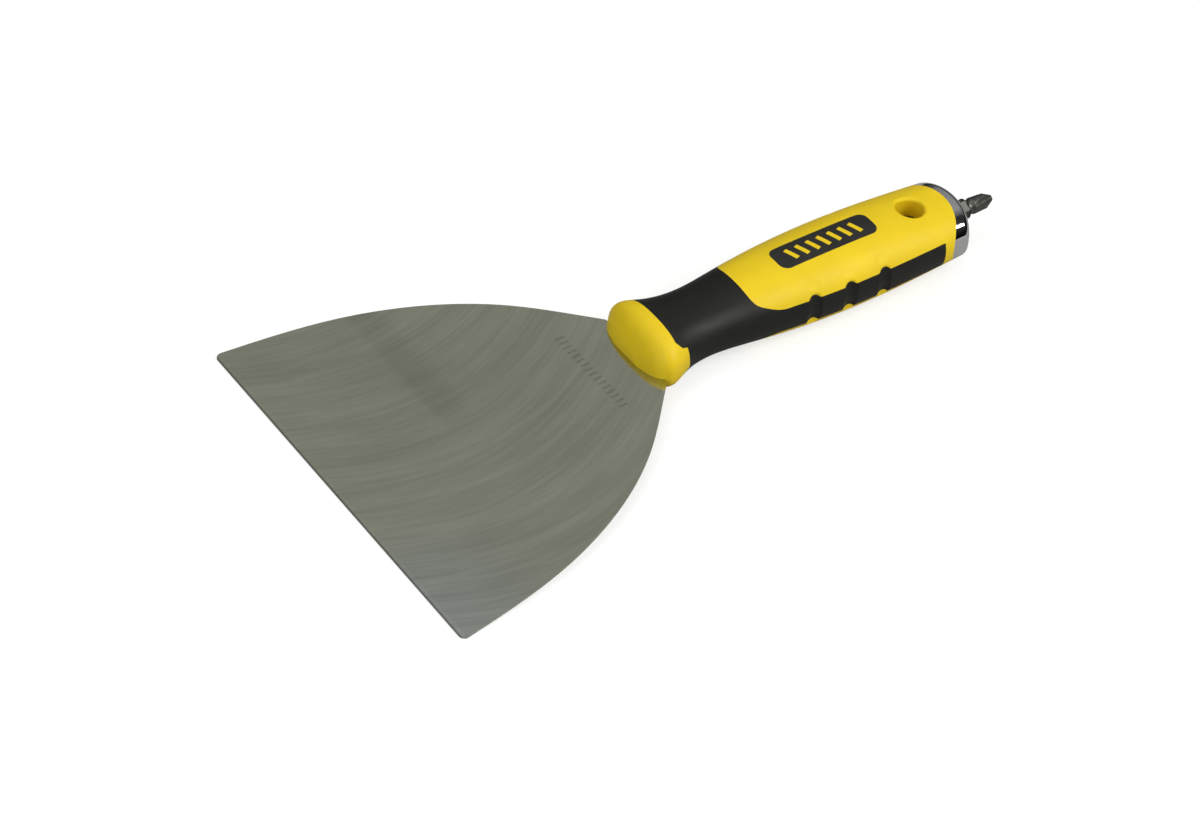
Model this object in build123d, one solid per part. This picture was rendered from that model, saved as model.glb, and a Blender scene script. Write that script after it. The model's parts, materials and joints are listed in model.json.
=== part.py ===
from build123d import *

import os
from math import copysign, cos, pi, radians, sin, sqrt

# Painter's joint knife: a thin fan blade, a two-colour moulded handle, a plated striking cap on the
# handle's end, and a screwdriver bit that pulls out of a hexagon socket in the cap. Millimetres.
#
# Two frames are used to draw it. The blade frame has X from the cutting edge towards the bit, Y across,
# and Z up through the blade's mid-plane. The handle frame is the same, tipped down about Y at TIP_STATION,
# so the handle droops away from the blade. place() moves a handle piece into the blade frame. The finished
# tool is then tilted by REST_TILT, so that it lies on a level surface as it does when it is put down: on
# its cutting edge and on the underside of its handle.

# Blade
BLADE_WIDTH = 150.8
BLADE_THICKNESS = 0.8
BLADE_CORNER = 2.0
BLADE_SHOULDERS = [(15.0, 73.3), (41.0, 68.1), (67.0, 58.3), (93.0, 41.2), (110.0, 23.9)]
BLADE_THROAT = (115.6, 17.8)
BLADE_STEP = 2.0
BLADE_ROOT_HALF = 9.0
BLADE_ROOT_END = 137.0
EDGE_LAND = 0.3
EDGE_BEVEL = 1.6
RIVET_STATIONS = [(121.0, 0.0), (130.0, -5.0), (130.0, 5.0)]
RIVET_RADIUS = 1.6
RIVET_HEAD_RADIUS = 2.6
RIVET_HEAD = 0.9

# Handle frame
TIP_STATION = 138.0
TIP_HEIGHT = 1.2
DROOP = 3.5
REST_TILT = 4.378

# Handle skin, as stations along the handle: distance from the cutting edge, half width, half height, and
# the height of the section's middle above the handle axis.
SKIN = [
    (111.6, 6.0, 2.0, -2.5),
    (112.6, 11.0, 5.2, -2.2),
    (114.2, 14.8, 7.9, -1.7),
    (116.4, 17.1, 9.8, -1.2),
    (119.0, 18.1, 10.8, -0.9),
    (121.8, 17.3, 10.9, -0.8),
    (125.5, 15.6, 10.4, -0.7),
    (131.0, 13.8, 10.0, -0.5),
    (139.0, 13.1, 9.8, -0.3),
    (149.0, 13.8, 10.5, -0.1),
    (160.0, 15.0, 11.6, 0.0),
    (173.0, 16.2, 12.4, 0.0),
    (190.0, 17.1, 12.7, 0.0),
    (208.0, 17.0, 12.6, 0.0),
    (224.0, 16.5, 11.7, 0.0),
    (238.0, 15.9, 10.5, 0.0),
    (250.0, 15.2, 9.6, 0.0),
]
SKIN_SQUARENESS = 2.35
SKIN_POINTS = 24
SKIN_REACH = 40.0

# Soft grip
GRIP_DEPTH = 2.2
GRIP_FRONT = 122.3
GRIP_TONGUE = [
    (122.3, 7.6),
    (124.2, 5.6),
    (126.3, 4.8),
    (126.6, 0.6),
    (127.0, -3.4),
    (124.6, -4.8),
    (122.3, -6.8),
]
PANEL_FRONT = 154.0
PANEL_CURVE = [(154.0, 11.6), (158.6, 6.6), (166.0, 4.7)]
STRIP_TOP = 4.7
STRIP_BOTTOM = -5.2
STRIP_END = 231.5
NOTCH_STATIONS = [176.5, 190.9, 205.3]
NOTCH_RADIUS = 2.7
NOTCH_RISE = 1.1
GROOVE_RADIUS = 4.5
GROOVE_DEPTH = 0.7
GROOVE_HEIGHTS = [4.6, 0.0, -4.6]
DIMPLE_RADIUS = 14.0
DIMPLE_DEPTH = 0.22
DIMPLE_HEIGHT = 8.6

# Hanging hole
HOLE_STATION = 227.0
HOLE_RADIUS = 5.0
HOLE_ROUNDING = 1.0

# Striking cap
CAP_RIM_STATION = 241.4
CAP_RIM_RADIUS = 23.5
CAP_END_STATION = 246.6
CAP_ROUNDING = 3.4
EAR_FRONT = 233.2
EAR_INNER = 5.5
EAR_OUTER = 9.4
EAR_HALF_HEIGHT = 4.0
EAR_SLOT_END = 239.6
CAP_PIN_STATION = 236.4
CAP_PIN_RADIUS = 1.25

# Tang
TANG_THICKNESS = 3.0
TANG_RISE = 2.0
TANG_HALF_WIDTH = 6.5
TANG_FRONT = 116.5
TANG_PAD_END = 138.5
TANG_BEND_END = 150.0
TANG_EYE_RADIUS = 7.6
PRONG_INNER = 5.6
PRONG_OUTER = 8.6
ANCHOR_STATIONS = [160.0, 180.0, 200.0]
ANCHOR_RADIUS = 3.0

# Bit socket
SOCKET_FRONT = 234.8
SOCKET_MOUTH = 246.4
SOCKET_RADIUS = 5.2
SOCKET_FLOOR = 236.4
HEX_ACROSS_FLATS = 6.35
HEX_CLEARANCE = 0.06
MAGNET_LENGTH = 2.0
MAGNET_RADIUS = 2.9
MAGNET_GAP = 0.05
MOUTH_CHAMFER = 0.5
RING_STATION = 243.6
RING_WIDTH = 0.8
RING_INNER = 3.74
RING_OUTER = 4.4
RING_SPLIT = 1.2

# Screwdriver bit
BIT_LENGTH = 25.0
BIT_HEX_LENGTH = 13.6
BIT_SHOULDER = 0.8
BIT_NECK_RADIUS = 2.5
BIT_NECK_LENGTH = 0.9
BIT_FLARE = 1.2
BIT_BODY_RADIUS = 3.0
BIT_BODY_LENGTH = 4.9
BIT_POINT_RADIUS = 1.15
BIT_REAR_CHAMFER = 0.4
FLUTE_RADIUS = 1.35
FLUTE_OFFSET = 2.4
FLUTE_LEAN = 13.0
FLUTE_LENGTH = 8.5

# Badge
BADGE_STATION = 190.6
BADGE_LENGTH = 40.0
BADGE_WIDTH = 10.7
BADGE_CORNER = 3.2
BADGE_DEPTH = 0.6
BAR_COUNT = 7
BAR_PITCH = 4.4
BAR_LENGTH = 5.6
BAR_WIDTH = 1.7
BAR_LEAN = 20.0
BAR_DEPTH = 0.3

# How far a cutting shape runs past what it cuts, how near counts as touching, and where an edge is sampled.
MARGIN = 1.0
NEAR = 0.01
SAMPLES = (0.1, 0.35, 0.6, 0.85)


def place(shape):
    """Moves a piece from the handle frame into the blade frame."""
    return Pos(TIP_STATION, 0, TIP_HEIGHT) * Rot(0, DROOP, 0) * Pos(-TIP_STATION, 0, 0) * shape


def unplace(shape):
    """Moves a piece from the blade frame into the handle frame."""
    return Pos(TIP_STATION, 0, 0) * Rot(0, -DROOP, 0) * Pos(-TIP_STATION, 0, -TIP_HEIGHT) * shape


def plan(outline, low, high):
    """Raises a closed outline drawn in X and Y from one height to another."""
    return Pos(0, 0, low) * extrude(make_face(outline), amount=high - low, dir=(0, 0, 1))


def side(outline, half_width):
    """Widens a closed outline drawn in X and Z by half_width to each side of the middle."""
    face = Plane.XZ * make_face(outline)
    return extrude(face, amount=half_width, both=True)


def box(low, high):
    """A block between two corners."""
    size = [b - a for a, b in zip(low, high)]
    middle = [(a + b) / 2 for a, b in zip(low, high)]
    return Pos(*middle) * Box(*size)


def column(radius, length):
    """A round bar that stands on the origin."""
    return Cylinder(radius, length, align=(Align.CENTER, Align.CENTER, Align.MIN))


def rod(start, end, radius):
    """A round bar along X, on the axis."""
    return Pos(start, 0, 0) * Rot(0, 90, 0) * column(radius, end - start)


def post(x, y, low, high, radius):
    """A round bar along Z."""
    return Pos(x, y, low) * column(radius, high - low)


def hexagon_bar(start, end, across_flats):
    """A hexagon bar along X with two corners at the top and the bottom."""
    shape = RegularPolygon(across_flats / 2, 6, major_radius=False, rotation=30)
    return Pos(start, 0, 0) * Rot(0, 90, 0) * Rot(0, 0, 30) * extrude(shape, amount=end - start)


def ring_of(station, inset):
    """One closed section of the handle's skin, drawn in from the surface by inset."""
    x, half_width, half_height, middle = station
    points = []
    for step in range(SKIN_POINTS):
        angle = 2 * pi * step / SKIN_POINTS - pi / 2
        across = copysign(abs(cos(angle)) ** (2 / SKIN_SQUARENESS), cos(angle))
        up = copysign(abs(sin(angle)) ** (2 / SKIN_SQUARENESS), sin(angle))
        points.append((x, (half_width - inset) * across, middle + (half_height - inset) * up))
    return Wire([Edge.make_spline([Vector(*point) for point in points], periodic=True)])


def skin(inset=0.0):
    """The handle's outer form, or the same form drawn in all round."""
    return Solid.make_loft([ring_of(station, inset) for station in SKIN])


def end_block(station, radius):
    """All that lies ahead of an arc that crosses the handle in plan and bulges towards the bit."""
    wing = SKIN_REACH / 2
    drop = radius - sqrt(radius**2 - wing**2)
    arc = ThreePointArc((station - drop, -wing), (station, 0), (station - drop, wing))
    start = SKIN[0][0] - wing
    sides = Polyline((station - drop, wing), (start, wing), (start, -wing), (station - drop, -wing))
    return plan(Curve() + arc + sides, -SKIN_REACH, SKIN_REACH)


def skin_size(station):
    """Half width and half height of the skin at a station, between the two nearest listed ones."""
    for before, after in zip(SKIN, SKIN[1:]):
        if before[0] <= station <= after[0]:
            share = (station - before[0]) / (after[0] - before[0])
            return tuple(a + share * (b - a) for a, b in zip(before[1:3], after[1:3]))
    raise ValueError("station outside the handle")


def ball_centre(station, height, hand, radius, depth):
    """Where a ball sits at one side of the handle so that it dips into the skin by depth."""
    half_width, half_height = skin_size(station)
    up = height / half_height
    across = (1 - abs(up) ** SKIN_SQUARENESS) ** (1 / SKIN_SQUARENESS)
    normal_across = across ** (SKIN_SQUARENESS - 1) / half_width
    normal_up = copysign(abs(up) ** (SKIN_SQUARENESS - 1), up) / half_height
    reach = (radius - depth) / sqrt(normal_across**2 + normal_up**2)
    return Vector(station, hand * (half_width * across + reach * normal_across), height + reach * normal_up)


def finger_groove(station, hand):
    """A round-bottomed groove down one side strip, and a faint dimple in the panel above and below it."""
    centres = []
    for height in GROOVE_HEIGHTS:
        centres.append(ball_centre(station, height, hand, GROOVE_RADIUS, GROOVE_DEPTH))
    groove = Part()
    for start, end in zip(centres, centres[1:]):
        along = Plane(origin=start, z_dir=end - start)
        groove += along * column(GROOVE_RADIUS, (end - start).length)
    for centre in centres:
        groove += Pos(*centre) * Sphere(GROOVE_RADIUS)
    for height in (DIMPLE_HEIGHT, -DIMPLE_HEIGHT):
        centre = ball_centre(station, height, hand, DIMPLE_RADIUS, DIMPLE_DEPTH)
        groove += Pos(*centre) * Sphere(DIMPLE_RADIUS)
    return groove


def handle_form():
    """The whole handle's outer form, with its rounded nose and end and its finger grooves."""
    end_radius = CAP_RIM_RADIUS + CAP_END_STATION - CAP_RIM_STATION
    form = skin() & end_block(CAP_END_STATION, end_radius)
    form = fillet(form.edges().group_by(Axis.X)[-1], CAP_ROUNDING)
    for station in NOTCH_STATIONS:
        for hand in (-1, 1):
            form -= finger_groove(station, hand)
    return form


def grip_region():
    """The black part of the skin, seen from the side: the neck, and a strip back to its square end."""
    bottom_curve = [(x, -z) for x, z in PANEL_CURVE]
    bottom_curve[-1] = (bottom_curve[-1][0], STRIP_BOTTOM)
    far = SKIN_REACH / 2
    top = Spline(*PANEL_CURVE, tangents=[(0, -1), (1, 0)])
    bottom = Spline(*bottom_curve, tangents=[(0, 1), (1, 0)])
    tongue = Polyline(
        (PANEL_FRONT, far),
        (GRIP_FRONT, far),
        *GRIP_TONGUE,
        (GRIP_FRONT, -far),
        (PANEL_FRONT, -far),
    )
    lead_in = Line((PANEL_FRONT, far), PANEL_CURVE[0])
    lead_out = Line((PANEL_FRONT, -far), bottom_curve[0])
    end = Polyline(PANEL_CURVE[-1], (STRIP_END, STRIP_TOP), (STRIP_END, STRIP_BOTTOM), bottom_curve[-1])
    region = make_face(Curve() + top + bottom + tongue + lead_in + lead_out + end)
    for station in NOTCH_STATIONS:
        notch = Pos(station, STRIP_TOP + NOTCH_RISE - NOTCH_RADIUS) * Circle(NOTCH_RADIUS)
        bite = Pos(station, STRIP_BOTTOM + NOTCH_RISE - NOTCH_RADIUS) * Circle(NOTCH_RADIUS)
        region = region + notch - bite
    return extrude(Plane.XZ * region, amount=SKIN_REACH, both=True)


def make_grip(form):
    """The soft grip: a sleeve round the neck and a strip down each side, one rubber shot."""
    return (form & grip_region()) - skin(GRIP_DEPTH)


def make_blade():
    """The thin fan blade, ground to a land along its edge, with a narrow root inside the bolster."""
    half = BLADE_WIDTH / 2
    throat_x, throat_y = BLADE_THROAT
    right = Spline((0, half), *BLADE_SHOULDERS, BLADE_THROAT)
    left = mirror(right, Plane.XZ)
    root = Polyline(
        BLADE_THROAT,
        (throat_x + BLADE_STEP, BLADE_ROOT_HALF),
        (BLADE_ROOT_END, BLADE_ROOT_HALF),
        (BLADE_ROOT_END, -BLADE_ROOT_HALF),
        (throat_x + BLADE_STEP, -BLADE_ROOT_HALF),
        (throat_x, -throat_y),
    )
    edge = Line((0, half), (0, -half))
    sheet = plan(Curve() + right + root + left + edge, -BLADE_THICKNESS / 2, BLADE_THICKNESS / 2)
    corners = sheet.edges().filter_by(Axis.Z).group_by(Axis.X)[0]
    sheet = fillet(corners, BLADE_CORNER)
    thick = BLADE_THICKNESS / 2
    land = EDGE_LAND / 2
    far = BLADE_ROOT_END + MARGIN
    ground = Polyline(
        (0, land),
        (EDGE_BEVEL, thick),
        (far, thick),
        (far, -thick),
        (EDGE_BEVEL, -thick),
        (0, -land),
        (0, land),
    )
    return (sheet & side(ground, half)) - rivet_shanks()


def rivet_shanks():
    """The round shanks of the three rivets that hold blade and tang together."""
    low = -BLADE_THICKNESS / 2 - RIVET_HEAD
    high = BLADE_THICKNESS / 2 + TANG_THICKNESS + RIVET_HEAD
    return [post(x, y, low, high, RIVET_RADIUS) for x, y in RIVET_STATIONS]


def make_rivets():
    """Three separate rivets with a low round head at each end."""
    below = -BLADE_THICKNESS / 2
    above = BLADE_THICKNESS / 2 + TANG_THICKNESS
    rivets = []
    for (x, y), shank in zip(RIVET_STATIONS, rivet_shanks()):
        lower = post(x, y, below - RIVET_HEAD, below, RIVET_HEAD_RADIUS)
        upper = post(x, y, above, above + RIVET_HEAD, RIVET_HEAD_RADIUS)
        rivets.append(shank + lower + upper)
    return Compound(rivets)


def in_handle(x, z):
    """Handle-frame X and Z of a point given in the blade frame."""
    angle = radians(DROOP)
    run = x - TIP_STATION
    rise = z - TIP_HEIGHT
    return (TIP_STATION + run * cos(angle) - rise * sin(angle), run * sin(angle) + rise * cos(angle))


def tang_faces():
    """Heights of the tang's under and upper faces in the handle, where it lies above the axis."""
    return TANG_RISE - TANG_THICKNESS / 2, TANG_RISE + TANG_THICKNESS / 2


def make_tang():
    """The steel bar: a pad riveted on the blade's root, an eye round the hanging hole, and a rear fork."""
    low = BLADE_THICKNESS / 2
    high = low + TANG_THICKNESS
    under, over = tang_faces()
    outline = Polyline(
        in_handle(TANG_FRONT, low),
        in_handle(TANG_PAD_END, low),
        (TANG_BEND_END, under),
        (EAR_SLOT_END, under),
        (EAR_SLOT_END, over),
        (TANG_BEND_END, over),
        in_handle(TANG_PAD_END, high),
        in_handle(TANG_FRONT, high),
        in_handle(TANG_FRONT, low),
    )
    reach = SKIN_REACH / 2
    pad = box((TANG_FRONT - MARGIN, -BLADE_ROOT_HALF, -reach), (TANG_PAD_END, BLADE_ROOT_HALF, reach))
    bar = box((TANG_PAD_END - MARGIN, -TANG_HALF_WIDTH, -reach), (HOLE_STATION, TANG_HALF_WIDTH, reach))
    eye = post(HOLE_STATION, 0, -reach, reach, TANG_EYE_RADIUS)
    shape = pad + bar + eye
    for hand in (-1, 1):
        shape += box(
            (HOLE_STATION, min(hand * PRONG_INNER, hand * PRONG_OUTER), -reach),
            (EAR_SLOT_END, max(hand * PRONG_INNER, hand * PRONG_OUTER), reach),
        )
    shape -= post(HOLE_STATION, 0, -reach, reach, HOLE_RADIUS)
    for station in ANCHOR_STATIONS:
        shape -= post(station, 0, -reach, reach, ANCHOR_RADIUS)
    return place(shape & side(outline, reach)) - rivet_shanks() - place(make_cap_pins())


def make_cap_pins():
    """Two separate pins through the cap's ears and the prongs of the tang."""
    across = (PRONG_INNER + PRONG_OUTER) / 2
    pins = []
    for hand in (-1, 1):
        pins.append(post(CAP_PIN_STATION, hand * across, -EAR_HALF_HEIGHT, EAR_HALF_HEIGHT, CAP_PIN_RADIUS))
    return Compound(pins)


def make_cap(form):
    """The striking cap: the handle's rounded end behind the rim, with two slotted ears in front of it."""
    cap = form - end_block(CAP_RIM_STATION, CAP_RIM_RADIUS)
    under, over = tang_faces()
    for hand in (-1, 1):
        inner = min(hand * EAR_INNER, hand * EAR_OUTER)
        outer = max(hand * EAR_INNER, hand * EAR_OUTER)
        ear = box((EAR_FRONT, inner, -EAR_HALF_HEIGHT), (CAP_RIM_STATION, outer, EAR_HALF_HEIGHT))
        slot = box((EAR_FRONT, inner, under), (EAR_SLOT_END, outer, over))
        cap += ear - slot
    return cap - rod(SOCKET_FRONT, CAP_END_STATION + MARGIN, SOCKET_RADIUS) - make_cap_pins()


def ring_groove(inner, outer):
    """A flat ring round the socket's axis at the spring ring's station."""
    start = RING_STATION - RING_WIDTH / 2
    end = RING_STATION + RING_WIDTH / 2
    return rod(start, end, outer) - rod(start, end, inner)


def make_socket():
    """The steel sleeve: a hexagon bore from its mouth, a seat for the magnet, and a ring groove."""
    bore = HEX_ACROSS_FLATS + 2 * HEX_CLEARANCE
    magnet_end = SOCKET_FLOOR + MAGNET_LENGTH
    sleeve = rod(SOCKET_FRONT, SOCKET_MOUTH, SOCKET_RADIUS)
    sleeve -= rod(SOCKET_FLOOR, magnet_end, MAGNET_RADIUS)
    sleeve -= hexagon_bar(magnet_end, SOCKET_MOUTH, bore)
    mouth = Pos(SOCKET_MOUTH - MOUTH_CHAMFER, 0, 0) * Rot(0, 90, 0) * Cone(
        bore / sqrt(3) - MOUTH_CHAMFER / 2,
        bore / sqrt(3) + MOUTH_CHAMFER / 2,
        MOUTH_CHAMFER,
        align=(Align.CENTER, Align.CENTER, Align.MIN),
    )
    sleeve -= mouth
    return sleeve - ring_groove(RING_INNER, RING_OUTER)


def make_magnet():
    """The disc magnet on the socket's floor."""
    return rod(SOCKET_FLOOR, SOCKET_FLOOR + MAGNET_LENGTH, MAGNET_RADIUS)


def make_ring():
    """The split spring ring in the socket's groove."""
    low = (RING_STATION - RING_WIDTH, -RING_SPLIT / 2, 0)
    high = (RING_STATION + RING_WIDTH, RING_SPLIT / 2, RING_OUTER + MARGIN)
    return ring_groove(RING_INNER, RING_OUTER) - box(low, high)


def make_bit():
    """The cross-head bit: hexagon shank, necked round body, coned point, and four leaning flutes."""
    rear = SOCKET_FLOOR + MAGNET_LENGTH + MAGNET_GAP
    hex_end = rear + BIT_HEX_LENGTH
    neck = hex_end + BIT_SHOULDER
    neck_end = neck + BIT_NECK_LENGTH
    body = neck_end + BIT_FLARE
    tip = rear + BIT_LENGTH
    corner = HEX_ACROSS_FLATS / sqrt(3)
    outline = Polyline(
        (rear, 0),
        (rear, corner - BIT_REAR_CHAMFER),
        (rear + BIT_REAR_CHAMFER, corner),
        (hex_end, corner),
        (neck, BIT_NECK_RADIUS),
        (neck_end, BIT_NECK_RADIUS),
        (body, BIT_BODY_RADIUS),
        (body + BIT_BODY_LENGTH, BIT_BODY_RADIUS),
        (tip, BIT_POINT_RADIUS),
        (tip, 0),
        (rear, 0),
    )
    turned = revolve(make_face(outline), Axis.X)
    shank = hexagon_bar(rear, neck, HEX_ACROSS_FLATS)
    point = box((hex_end, -corner, -corner), (tip + MARGIN, corner, corner))
    bit = turned & (shank + point)
    for quarter in range(4):
        flute = Pos(tip, 0, 0) * Rot(90 * quarter + 45, 0, 0) * Pos(0, 0, FLUTE_OFFSET)
        flute = flute * Rot(0, -90 + FLUTE_LEAN, 0)
        bit -= flute * Pos(0, 0, FLUTE_LENGTH / 2) * Cylinder(FLUTE_RADIUS, FLUTE_LENGTH * 2)
    return bit


def badge_outline():
    """The badge's footprint: a plain rectangle with round corners."""
    return Pos(BADGE_STATION, 0) * RectangleRounded(BADGE_LENGTH, BADGE_WIDTH, BADGE_CORNER)


def make_badge(form):
    """The plain inlay and its row of bars, both flush with the top of the handle."""
    plate = form & extrude(badge_outline(), amount=SKIN_REACH)
    plate -= skin(BADGE_DEPTH)
    bars = []
    for index in range(BAR_COUNT):
        x = BADGE_STATION + (index - (BAR_COUNT - 1) / 2) * BAR_PITCH
        stamp = Pos(x, 0) * Rot(0, 0, BAR_LEAN) * Rectangle(BAR_WIDTH, BAR_LENGTH)
        bars.append((form & extrude(stamp, amount=SKIN_REACH)) - skin(BAR_DEPTH))
    return plate - bars, Compound([bar.solid() for bar in bars])


def make_core(form, others):
    """The rigid moulding: the handle's form up to the cap's rim, less all that is moulded into it."""
    core = form & end_block(CAP_RIM_STATION, CAP_RIM_RADIUS)
    core -= post(HOLE_STATION, 0, -SKIN_REACH, SKIN_REACH, HOLE_RADIUS)
    rims = core.edges().filter_by(around_hole)
    core = fillet(rims, HOLE_ROUNDING)
    for other in others:
        core -= other
    return core


def around_hole(edge):
    """Whether an edge is one of the two rims of the hanging hole."""
    for share in SAMPLES:
        point = edge.position_at(share)
        distance = sqrt((point.X - HOLE_STATION) ** 2 + point.Y**2)
        if abs(distance - HOLE_RADIUS) > NEAR:
            return False
    return edge.length > HOLE_RADIUS * pi


def build():
    """Every piece in the blade frame, by name."""
    form = handle_form()
    grip = make_grip(form)
    plate, bars = make_badge(form)
    cap = make_cap(form)
    socket_space = rod(SOCKET_FRONT, SOCKET_MOUTH, SOCKET_RADIUS)
    blade = make_blade()
    tang = make_tang()
    rivets = make_rivets()
    buried = [unplace(piece) for piece in (blade, tang, rivets)]
    core = make_core(form, [grip, plate, bars, cap, socket_space, make_cap_pins(), *buried])
    return {
        "blade": blade,
        "tang": tang,
        "blade_rivets": rivets,
        "handle_core": place(core),
        "soft_grip": place(grip),
        "badge_plate": place(plate),
        "badge_bars": place(bars),
        "end_cap": place(cap),
        "cap_pins": place(make_cap_pins()),
        "bit_socket": place(make_socket()),
        "socket_magnet": place(make_magnet()),
        "socket_ring": place(make_ring()),
        "screwdriver_bit": place(make_bit()),
    }


def lay_down(pieces):
    """Tilts the tool onto its cutting edge and handle, and puts the origin under the middle of its box."""
    tilted = {name: Rot(0, -REST_TILT, 0) * piece for name, piece in pieces.items()}
    bounds = Compound(list(tilted.values())).bounding_box(optimal=True)
    shift = Pos(-bounds.center().X, -bounds.center().Y, -bounds.min.Z)
    print("shift after the tilt:", tuple(shift.position))
    for name, piece in tilted.items():
        print(name, "stands", round(piece.bounding_box().min.Z - bounds.min.Z, 3), "above the surface")
    return {name: shift * piece for name, piece in tilted.items()}


def write(pieces):
    """Writes one file for each piece."""
    os.makedirs("parts", exist_ok=True)
    for name, piece in pieces.items():
        print(name, len(piece.solids()), "solids, valid", piece.is_valid)
        export_step(piece, f"parts/{name}.step")


if __name__ == "__main__":
    write(lay_down(build()))
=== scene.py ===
import json
from functools import reduce
from math import radians

import bmesh
import bpy
from mathutils import Matrix, Vector


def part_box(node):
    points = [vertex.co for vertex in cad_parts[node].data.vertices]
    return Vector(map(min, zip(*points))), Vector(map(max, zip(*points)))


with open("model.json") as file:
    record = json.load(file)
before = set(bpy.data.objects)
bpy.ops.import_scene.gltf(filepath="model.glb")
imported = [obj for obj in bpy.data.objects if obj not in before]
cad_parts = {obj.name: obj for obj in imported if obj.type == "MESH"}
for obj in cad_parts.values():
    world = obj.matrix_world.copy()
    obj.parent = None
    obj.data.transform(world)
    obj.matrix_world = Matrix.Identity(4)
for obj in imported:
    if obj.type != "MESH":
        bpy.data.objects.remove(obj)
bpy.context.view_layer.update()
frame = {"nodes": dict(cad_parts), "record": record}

# Looks for the joint knife. Metres, in the row frame: X from the cutting edge towards the screwdriver bit,
# Y across the blade, Z up. Patterns on the blade are drawn in the blade's own millimetres.

# Camera
CAMERA_BACK = Vector((-0.44974, -0.58878, 0.67162))
CAMERA_RIGHT = Vector((0.82638, -0.55960, 0.06279))
CAMERA_TARGET = Vector((-0.04138, -0.01635, 0.008))
CAMERA_DISTANCE = 1.2903
CAMERA_LENS = 120.0
CAMERA_SENSOR = 36.0

# Floor: it looks near white to the camera alone, and is mid grey to light and reflections.
FLOOR_SIZE = 8.0
FLOOR_CELLS = 8
FLOOR_COLOUR = (0.42, 0.42, 0.415)
FLOOR_GLOW = (1.0, 1.0, 0.995, 1)
FLOOR_LIFT = 0.66

# Lights: each faces the origin.
WARM = (1.0, 0.985, 0.95)
WHITE = (1.0, 1.0, 1.0)
COOL = (0.95, 0.98, 1.0)
SOFTBOXES = {
    "key": dict(place=(0.72, -0.80, 1.18), size=(0.75, 0.75), power=14.5, colour=WARM),
    "strip": dict(place=(0.62, -1.20, 0.68), size=(0.16, 1.00), power=4.5, colour=WARM),
    "top": dict(place=(-0.35, 0.15, 1.70), size=(1.2, 1.2), power=6.0, colour=WHITE),
    "fill": dict(place=(-1.20, -0.60, 0.80), size=(1.0, 1.0), power=8.0, colour=COOL),
}

# Room: colours by the height of the view direction, and how much of them is left towards the -Y wall.
SKY = [
    (0.05, (0.02, 0.02, 0.022)),
    (0.30, (0.10, 0.10, 0.101)),
    (0.42, (0.28, 0.28, 0.2828)),
    (0.80, (0.40, 0.40, 0.404)),
    (1.0, (0.75, 0.76, 0.78)),
]
WALL_FADE = (-0.08, 0.22)
WALL_LIGHT = (0.1, 1.0)

# Blade frame: its origin is the middle of the cutting edge, and it lies tilted about Y.
MILLIMETRES = 1000.0
BLADE_TILT = radians(4.378)
BLADE_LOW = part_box("blade")[0]
BLADE_ORIGIN = Vector((BLADE_LOW.x, 0.0, BLADE_LOW.z))

# Blade patterns, in millimetres. A pair of places is where a smooth step begins and where it is complete.
BLADE_COLOUR = (0.47, 0.48, 0.378)
# Painted highlight: a brighter, bluish corner of the blade where the light falls, blended into the steel's
# colour.
PAINTED_HIGHLIGHT_COLOUR = (0.50, 0.54, 0.49)
PAINTED_HIGHLIGHT_ALONG = (48.0, 0.0)
PAINTED_HIGHLIGHT_ACROSS = (-8.0, -66.0)
STREAK_VERTEX = 45.0
STREAK_BOW = 0.006
STREAK_STRETCH = 0.06
BROAD_STRETCH = 0.12
# Painted shade: a darker bar across one half of the blade, standing in for a dim reflection.
BAND_FRONT = (43.0, 47.0)
BAND_REAR = (60.0, 52.0)
BAND_SIDE = (-6.0, 14.0)
BAND_SHADE = 0.10
# Painted shade: the steel's colour darkened in a thin line along the ground cutting edge.
EDGE_FADE = (0.15, 0.9)
EDGE_PAINTED_SHADE = 0.45
DOT_SHADE = 0.5
TICK_ROW = 98.0
TICK_HALF_LENGTH = 1.9
TICK_HALF_SPAN = 20.0
TICK_PITCH = 2.5
TICK_FADE = 0.4
TICK_WIDTH = (0.22, 0.12)
TICK_SHADE = 0.26
TICK_ROUGHNESS = 0.04

# Other colours
YELLOW = (0.84, 0.60, 0.012)
RUBBER = (0.0068, 0.0068, 0.0052)
LINT = (0.16, 0.16, 0.15)
INLAY = (0.010, 0.010, 0.008)


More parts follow.
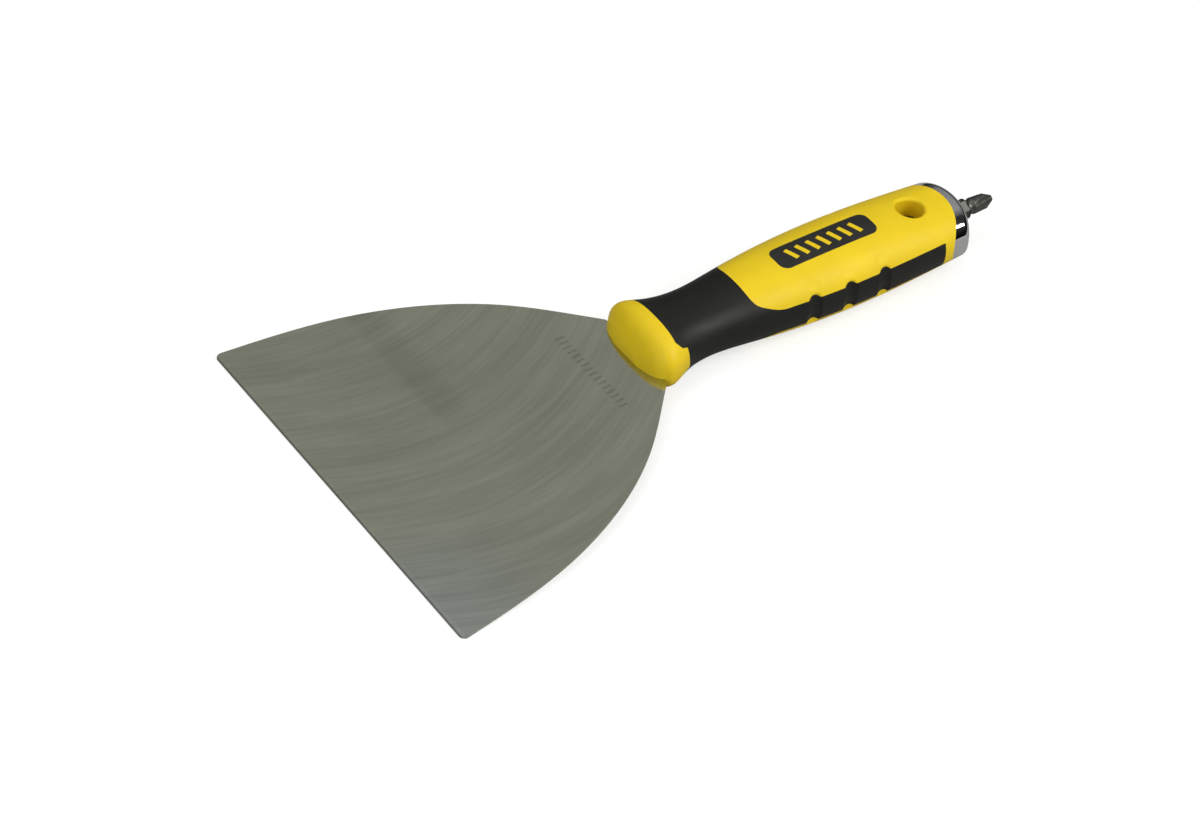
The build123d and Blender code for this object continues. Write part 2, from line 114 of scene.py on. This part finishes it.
class Graph:
    """A material's node tree, with a short call for each kind of node used here."""

    def __init__(self, name):
        self.material = bpy.data.materials.new(name)
        self.material.use_nodes = True
        self.nodes = self.material.node_tree.nodes
        self.links = self.material.node_tree.links
        self.shader = self.nodes["Principled BSDF"]
        self.place = self.nodes.new("ShaderNodeTexCoord").outputs["Object"]

    def put(self, value, socket):
        """Links an output to a socket, or writes a plain value on it."""
        if isinstance(value, bpy.types.NodeSocket):
            self.links.new(value, socket)
        else:
            socket.default_value = value

    def set(self, **values):
        """Sets the shader's sockets, named in lower case with underscores."""
        sockets = {socket.name.lower().replace(" ", "_"): socket for socket in self.shader.inputs}
        for name, value in values.items():
            self.put(value, sockets[name])

    def mapped(self, scale, rotation=(0, 0, 0), location=(0, 0, 0)):
        """The place, scaled, turned and moved."""
        node = self.nodes.new("ShaderNodeMapping")
        self.put(self.place, node.inputs["Vector"])
        node.inputs["Scale"].default_value = scale
        node.inputs["Rotation"].default_value = rotation
        node.inputs["Location"].default_value = location
        return node.outputs["Vector"]

    def split(self, vector):
        """The three parts of a vector."""
        node = self.nodes.new("ShaderNodeSeparateXYZ")
        self.put(vector, node.inputs[0])
        return list(node.outputs)

    def joined(self, x, y, z=0.0):
        """A vector from its parts."""
        node = self.nodes.new("ShaderNodeCombineXYZ")
        for value, socket in zip((x, y, z), node.inputs):
            self.put(value, socket)
        return node.outputs[0]

    def math(self, operation, a, b=0.0):
        """One arithmetic step."""
        node = self.nodes.new("ShaderNodeMath")
        node.operation = operation
        self.put(a, node.inputs[0])
        self.put(b, node.inputs[1])
        return node.outputs[0]

    def total(self, *values):
        """The sum of several values."""
        return reduce(lambda a, b: self.math("ADD", a, b), values)

    def product(self, *values):
        """The product of several values."""
        return reduce(lambda a, b: self.math("MULTIPLY", a, b), values)

    def less(self, value, mask, share):
        """A value lowered by a share where a mask is 1."""
        return self.math("SUBTRACT", value, self.math("MULTIPLY", mask, share))

    def step(self, value, low, high, to_low=0.0, to_high=1.0):
        """A smooth step of value from low to high."""
        node = self.nodes.new("ShaderNodeMapRange")
        node.interpolation_type = "SMOOTHSTEP"
        for socket, number in zip(node.inputs, (value, low, high, to_low, to_high)):
            self.put(number, socket)
        return node.outputs[0]

    def noise(self, vector, scale, detail=3.0, roughness=0.5, distortion=0.0):
        """Cloudy noise, from 0 to 1."""
        node = self.nodes.new("ShaderNodeTexNoise")
        self.put(vector, node.inputs["Vector"])
        node.inputs["Scale"].default_value = scale
        node.inputs["Detail"].default_value = detail
        node.inputs["Roughness"].default_value = roughness
        node.inputs["Distortion"].default_value = distortion
        return node.outputs["Fac"]

    def specks(self, vector, scale, radius, share):
        """Sparse round specks: 1 inside a speck, 0 outside. A share of the cells holds one."""
        node = self.nodes.new("ShaderNodeTexVoronoi")
        self.put(vector, node.inputs["Vector"])
        node.inputs["Scale"].default_value = scale
        chosen = self.math("LESS_THAN", self.split(node.outputs["Color"])[0], share)
        return self.math("MULTIPLY", chosen, self.step(node.outputs["Distance"], radius, radius / 2))

    def mix(self, factor, a, b):
        """A blend from colour a to colour b."""
        node = self.nodes.new("ShaderNodeMix")
        node.data_type = "VECTOR"
        for value, socket in zip((factor, a, b), (node.inputs[0], node.inputs[4], node.inputs[5])):
            self.put(value, socket)
        return node.outputs[1]

    def shade(self, colour, factor):
        """A colour multiplied by a grey factor."""
        node = self.nodes.new("ShaderNodeVectorMath")
        node.operation = "SCALE"
        self.put(colour, node.inputs[0])
        self.put(factor, node.inputs["Scale"])
        return node.outputs[0]

    def bump(self, height, strength, distance):
        """A normal that follows a height."""
        node = self.nodes.new("ShaderNodeBump")
        self.put(height, node.inputs["Height"])
        node.inputs["Strength"].default_value = strength
        node.inputs["Distance"].default_value = distance
        return node.outputs[0]


def blade_place(g):
    """Station from the cutting edge and distance across the blade, in millimetres."""
    turn = Matrix.Rotation(BLADE_TILT, 3, "Y")
    offset = -(turn @ BLADE_ORIGIN) * MILLIMETRES
    scale = (MILLIMETRES, MILLIMETRES, MILLIMETRES)
    return g.split(g.mapped(scale, rotation=(0, BLADE_TILT, 0), location=offset))[:2]


def etched_ticks(g, x, y):
    """A plain row of short etched ticks across the blade in front of the handle: 1 on a tick, 0 elsewhere."""
    ahead = g.math("ABSOLUTE", g.math("SUBTRACT", x, TICK_ROW))
    near = g.step(ahead, TICK_HALF_LENGTH, TICK_HALF_LENGTH - TICK_FADE)
    inside = g.step(g.math("ABSOLUTE", y), TICK_HALF_SPAN, TICK_HALF_SPAN - TICK_FADE)
    phase = g.math("FRACT", g.math("DIVIDE", y, TICK_PITCH))
    wave = g.math("ABSOLUTE", g.math("SUBTRACT", phase, 0.5))
    return g.math("MULTIPLY", g.step(wave, *TICK_WIDTH), g.math("MULTIPLY", near, inside))


def painted_shade_band(g, x, y):
    """Painted shade: a darker bar across one half of the blade, where the steel would reflect a dimmer part
    of the room: 1 on the bar, 0 elsewhere.
    """
    return g.product(g.step(x, *BAND_FRONT), g.step(x, *BAND_REAR), g.step(y, *BAND_SIDE))


def blade_steel():
    """Satin stainless sheet: long bowed polishing streaks, a painted shade band, a painted bluish highlight
    on one corner, and painted shade along the ground cutting edge.
    """
    g = Graph("blade_steel")
    x, y = blade_place(g)
    ahead = g.math("SUBTRACT", x, STREAK_VERTEX)
    across = g.math("SUBTRACT", y, g.product(ahead, ahead, STREAK_BOW))
    long_way = g.joined(g.math("MULTIPLY", x, STREAK_STRETCH), across)
    broad_way = g.joined(g.math("MULTIPLY", x, BROAD_STRETCH), across)
    broad = g.noise(broad_way, scale=0.11, detail=3.0, roughness=0.55, distortion=0.35)
    streak = g.noise(long_way, scale=0.55, detail=4.0, roughness=0.6, distortion=0.2)
    grain = g.noise(long_way, scale=5.0, detail=2.0, roughness=0.6)
    cloud = g.noise(g.joined(x, y), scale=0.03, detail=2.0, roughness=0.5)
    ticks = etched_ticks(g, x, y)
    light = g.total(
        g.step(broad, 0.3, 0.7, to_low=0.97, to_high=1.10),
        g.step(streak, 0.35, 0.68, to_low=-0.055, to_high=0.055),
        g.step(grain, 0.3, 0.7, to_low=-0.015, to_high=0.015),
        g.step(cloud, 0.3, 0.7, to_low=-0.03, to_high=0.03),
    )
    # Painted shade: the bar darkens the steel's colour.
    light = g.less(light, painted_shade_band(g, x, y), BAND_SHADE)
    light = g.less(light, ticks, TICK_SHADE)
    light = g.less(light, g.specks(g.joined(x, y), scale=0.045, radius=0.028, share=0.4), DOT_SHADE)
    # Painted shade along the cutting edge: the colour falls to a share of itself there.
    light = g.math("MULTIPLY", light, g.step(x, *EDGE_FADE, to_low=EDGE_PAINTED_SHADE))
    # Painted highlight: the corner mask that blends the steel's colour towards the brighter bluish one.
    painted_highlight = g.math("MULTIPLY", g.step(x, *PAINTED_HIGHLIGHT_ALONG), g.step(y, *PAINTED_HIGHLIGHT_ACROSS))
    gloss = g.step(streak, 0.3, 0.7, to_low=0.07, to_high=0.11)
    g.set(
        base_color=g.shade(g.mix(painted_highlight, BLADE_COLOUR, PAINTED_HIGHLIGHT_COLOUR), light),
        metallic=1.0,
        roughness=g.math("ADD", gloss, g.math("MULTIPLY", ticks, TICK_ROUGHNESS)),
        normal=g.bump(g.total(grain, g.math("MULTIPLY", streak, 0.5)), strength=0.05, distance=0.00003),
    )
    return g.material


def yellow_plastic():
    """Satin moulded plastic: slight flow marks in the colour, a fine spark-eroded grain, a few scuffs."""
    g = Graph("yellow_plastic")
    flow = g.noise(g.mapped((30.0, 60.0, 60.0)), scale=1.0, detail=3.0, roughness=0.5, distortion=0.6)
    patch = g.noise(g.place, scale=140.0, detail=2.0)
    grain = g.noise(g.place, scale=5200.0, detail=2.0, roughness=0.6)
    along = g.mapped((90.0, 900.0, 900.0), rotation=(0, 0, 0.4))
    scuff = g.noise(along, scale=1.0, detail=3.0, roughness=0.7)
    specks = g.specks(g.place, scale=95.0, radius=0.045, share=0.12)
    light = g.total(
        g.step(flow, 0.3, 0.7, to_low=0.955, to_high=1.02),
        g.step(patch, 0.3, 0.7, to_low=-0.015, to_high=0.015),
    )
    rough = g.total(
        g.step(patch, 0.3, 0.7, to_low=0.46, to_high=0.54),
        g.step(scuff, 0.66, 0.74, to_low=0.0, to_high=0.14),
    )
    height = g.math("SUBTRACT", g.math("MULTIPLY", grain, 0.4), specks)
    g.set(
        base_color=g.shade(YELLOW, g.less(light, specks, 0.35)),
        roughness=rough,
        specular_ior_level=0.25,
        normal=g.bump(height, strength=0.25, distance=0.00006),
    )
    return g.material


def black_rubber():
    """Soft-touch rubber: dull sheen, fine grain, uneven haze, a little lint and scratching."""
    g = Graph("black_rubber")
    grain = g.noise(g.place, scale=4200.0, detail=3.0, roughness=0.6)
    haze = g.noise(g.place, scale=85.0, detail=4.0, roughness=0.6, distortion=0.5)
    along = g.mapped((160.0, 1500.0, 1500.0), rotation=(0, 0, -0.5))
    scratch = g.noise(along, scale=1.0, detail=2.0, roughness=0.7)
    fibres = g.mapped((420.0, 1300.0, 900.0), rotation=(0.4, 0.2, 0.7))
    lint = g.specks(fibres, scale=1.0, radius=0.11, share=0.035)
    light = g.total(
        g.step(haze, 0.3, 0.7, to_low=0.82, to_high=1.18),
        g.step(scratch, 0.68, 0.76, to_low=0.0, to_high=0.5),
    )
    g.set(
        base_color=g.mix(g.math("MULTIPLY", lint, 0.5), g.shade(RUBBER, light), LINT),
        roughness=g.step(haze, 0.3, 0.7, to_low=0.46, to_high=0.56),
        specular_ior_level=0.3,
        normal=g.bump(grain, strength=0.35, distance=0.00006),
    )
    return g.material


def badge_black():
    """The inlay: smoother black plastic with a light grain."""
    g = Graph("badge_black")
    grain = g.noise(g.place, scale=3000.0, detail=3.0, roughness=0.6)
    haze = g.noise(g.place, scale=120.0, detail=3.0)
    g.set(
        base_color=g.shade(INLAY, g.step(haze, 0.3, 0.7, to_low=0.8, to_high=1.25)),
        roughness=g.step(haze, 0.3, 0.7, to_low=0.42, to_high=0.52),
        normal=g.bump(grain, strength=0.3, distance=0.00004),
    )
    return g.material


def bright_metal(name, colour, smooth, smeared, scratch_strength):
    """Plated or polished metal: nearly clean, with smears in the gloss and hairline scratches."""
    g = Graph(name)
    smear = g.noise(g.place, scale=190.0, detail=4.0, roughness=0.6, distortion=0.8)
    along = g.mapped((4000.0, 500.0, 700.0), rotation=(0.3, 0.5, 0.2))
    hair = g.noise(along, scale=1.0, detail=2.0, roughness=0.7)
    rough = g.total(
        g.step(smear, 0.3, 0.75, to_low=smooth, to_high=smeared),
        g.step(hair, 0.66, 0.74, to_low=0.0, to_high=0.08),
    )
    g.set(
        base_color=g.shade(colour, g.step(smear, 0.3, 0.7, to_low=0.93, to_high=1.0)),
        metallic=1.0,
        roughness=rough,
        normal=g.bump(hair, scratch_strength, distance=0.00002),
    )
    return g.material


def worked_steel(name, colour, smooth, rough, grain_scale):
    """Bare worked steel: a blasted or turned grain, darker oxide patches, and brighter rubbed spots."""
    g = Graph(name)
    grain = g.noise(g.place, grain_scale, detail=3.0, roughness=0.65)
    oxide = g.noise(g.place, scale=420.0, detail=3.0, roughness=0.55, distortion=0.4)
    rub = g.noise(g.place, scale=900.0, detail=2.0, roughness=0.5)
    light = g.total(
        g.step(oxide, 0.3, 0.7, to_low=0.78, to_high=1.12),
        g.step(rub, 0.62, 0.75, to_low=0.0, to_high=0.25),
    )
    g.set(
        base_color=g.shade(colour, light),
        metallic=1.0,
        roughness=g.step(oxide, 0.3, 0.7, to_low=smooth, to_high=rough),
        normal=g.bump(grain, strength=0.45, distance=0.00008),
    )
    return g.material


def make_materials():
    """Every material, by the name of its slot."""
    grey, dark = (0.33, 0.33, 0.33), (0.30, 0.30, 0.30)
    black, pale, silver = (0.125, 0.125, 0.115), (0.56, 0.56, 0.58), (0.68, 0.68, 0.69)
    return {
        "blade_steel": blade_steel(),
        "plain_steel": worked_steel("plain_steel", grey, smooth=0.35, rough=0.5, grain_scale=2600.0),
        "socket_steel": worked_steel("socket_steel", dark, smooth=0.3, rough=0.42, grain_scale=3000.0),
        "bit_steel": worked_steel("bit_steel", black, smooth=0.36, rough=0.5, grain_scale=5200.0),
        "magnet": bright_metal("magnet", pale, smooth=0.12, smeared=0.24, scratch_strength=0.1),
        "chrome": bright_metal("chrome", silver, smooth=0.03, smeared=0.08, scratch_strength=0.05),
        "yellow_plastic": yellow_plastic(),
        "badge_black": badge_black(),
        "black_rubber": black_rubber(),
    }


def dress(materials):
    """Gives each CAD node the material of its slot."""
    for subpart in frame["record"]["subparts"]:
        for slot in frame["nodes"][subpart["node"]].material_slots:
            slot.material = materials[subpart["material_slot"]]


def make_floor():
    """A plain pale floor under the tool."""
    mesh = bpy.data.meshes.new("floor")
    shape = bmesh.new()
    bmesh.ops.create_grid(shape, x_segments=FLOOR_CELLS, y_segments=FLOOR_CELLS, size=FLOOR_SIZE / 2)
    shape.to_mesh(mesh)
    shape.free()
    floor = bpy.data.objects.new("floor", mesh)
    bpy.context.scene.collection.objects.link(floor)
    g = Graph("floor_paint")
    tone = g.noise(g.place, scale=3.0, detail=2.0)
    seen = g.nodes.new("ShaderNodeLightPath").outputs["Is Camera Ray"]
    g.set(
        base_color=g.shade(FLOOR_COLOUR, g.step(tone, 0.2, 0.8, to_low=0.985, to_high=1.0)),
        roughness=0.9,
        specular_ior_level=0.1,
        emission_color=FLOOR_GLOW,
        emission_strength=g.math("MULTIPLY", seen, FLOOR_LIFT),
    )
    mesh.materials.append(g.material)


def make_lights():
    """Large soft area lights that face the tool."""
    for name, box in SOFTBOXES.items():
        light = bpy.data.lights.new(name, "AREA")
        light.shape = "RECTANGLE"
        light.size, light.size_y = box["size"]
        light.energy = box["power"]
        light.color = box["colour"]
        lamp = bpy.data.objects.new(name, light)
        lamp.location = box["place"]
        lamp.rotation_euler = Vector(box["place"]).to_track_quat("Z", "Y").to_euler()
        bpy.context.scene.collection.objects.link(lamp)


def make_world():
    """A grey room, darker towards the horizon and one side, so that metal has something to reflect."""
    world = bpy.data.worlds.new("room")
    bpy.context.scene.world = world
    world.use_nodes = True
    nodes, links = world.node_tree.nodes, world.node_tree.links
    direction = nodes.new("ShaderNodeTexCoord").outputs["Generated"]
    parts = nodes.new("ShaderNodeSeparateXYZ")
    ramp = nodes.new("ShaderNodeValToRGB")
    links.new(direction, parts.inputs[0])
    links.new(parts.outputs["Z"], ramp.inputs[0])
    stops = ramp.color_ramp.elements
    lowest, *middle, highest = SKY
    for stop, (position, colour) in zip(stops, (lowest, highest)):
        stop.position = position
        stop.color = (*colour, 1)
    for position, colour in middle:
        stops.new(position).color = (*colour, 1)
    links.new(ramp.outputs["Color"], nodes["Background"].inputs["Color"])
    wall = nodes.new("ShaderNodeMapRange")
    for socket, number in zip(list(wall.inputs)[1:], WALL_FADE + WALL_LIGHT):
        socket.default_value = number
    links.new(parts.outputs["Y"], wall.inputs[0])
    links.new(wall.outputs[0], nodes["Background"].inputs["Strength"])


def make_camera():
    """The camera, turned by its back and right directions."""
    back = CAMERA_BACK.normalized()
    right = (CAMERA_RIGHT - CAMERA_RIGHT.dot(back) * back).normalized()
    up = back.cross(right)
    data = bpy.data.cameras.new("camera")
    data.lens = CAMERA_LENS
    data.sensor_width = CAMERA_SENSOR
    camera = bpy.data.objects.new("camera", data)
    turn = Matrix((right, up, back)).transposed().to_4x4()
    camera.matrix_world = Matrix.Translation(CAMERA_TARGET + back * CAMERA_DISTANCE) @ turn
    bpy.context.scene.collection.objects.link(camera)
    bpy.context.scene.camera = camera


bpy.context.scene.view_settings.view_transform = "Standard"
make_camera()
make_world()
make_lights()
make_floor()
dress(make_materials())
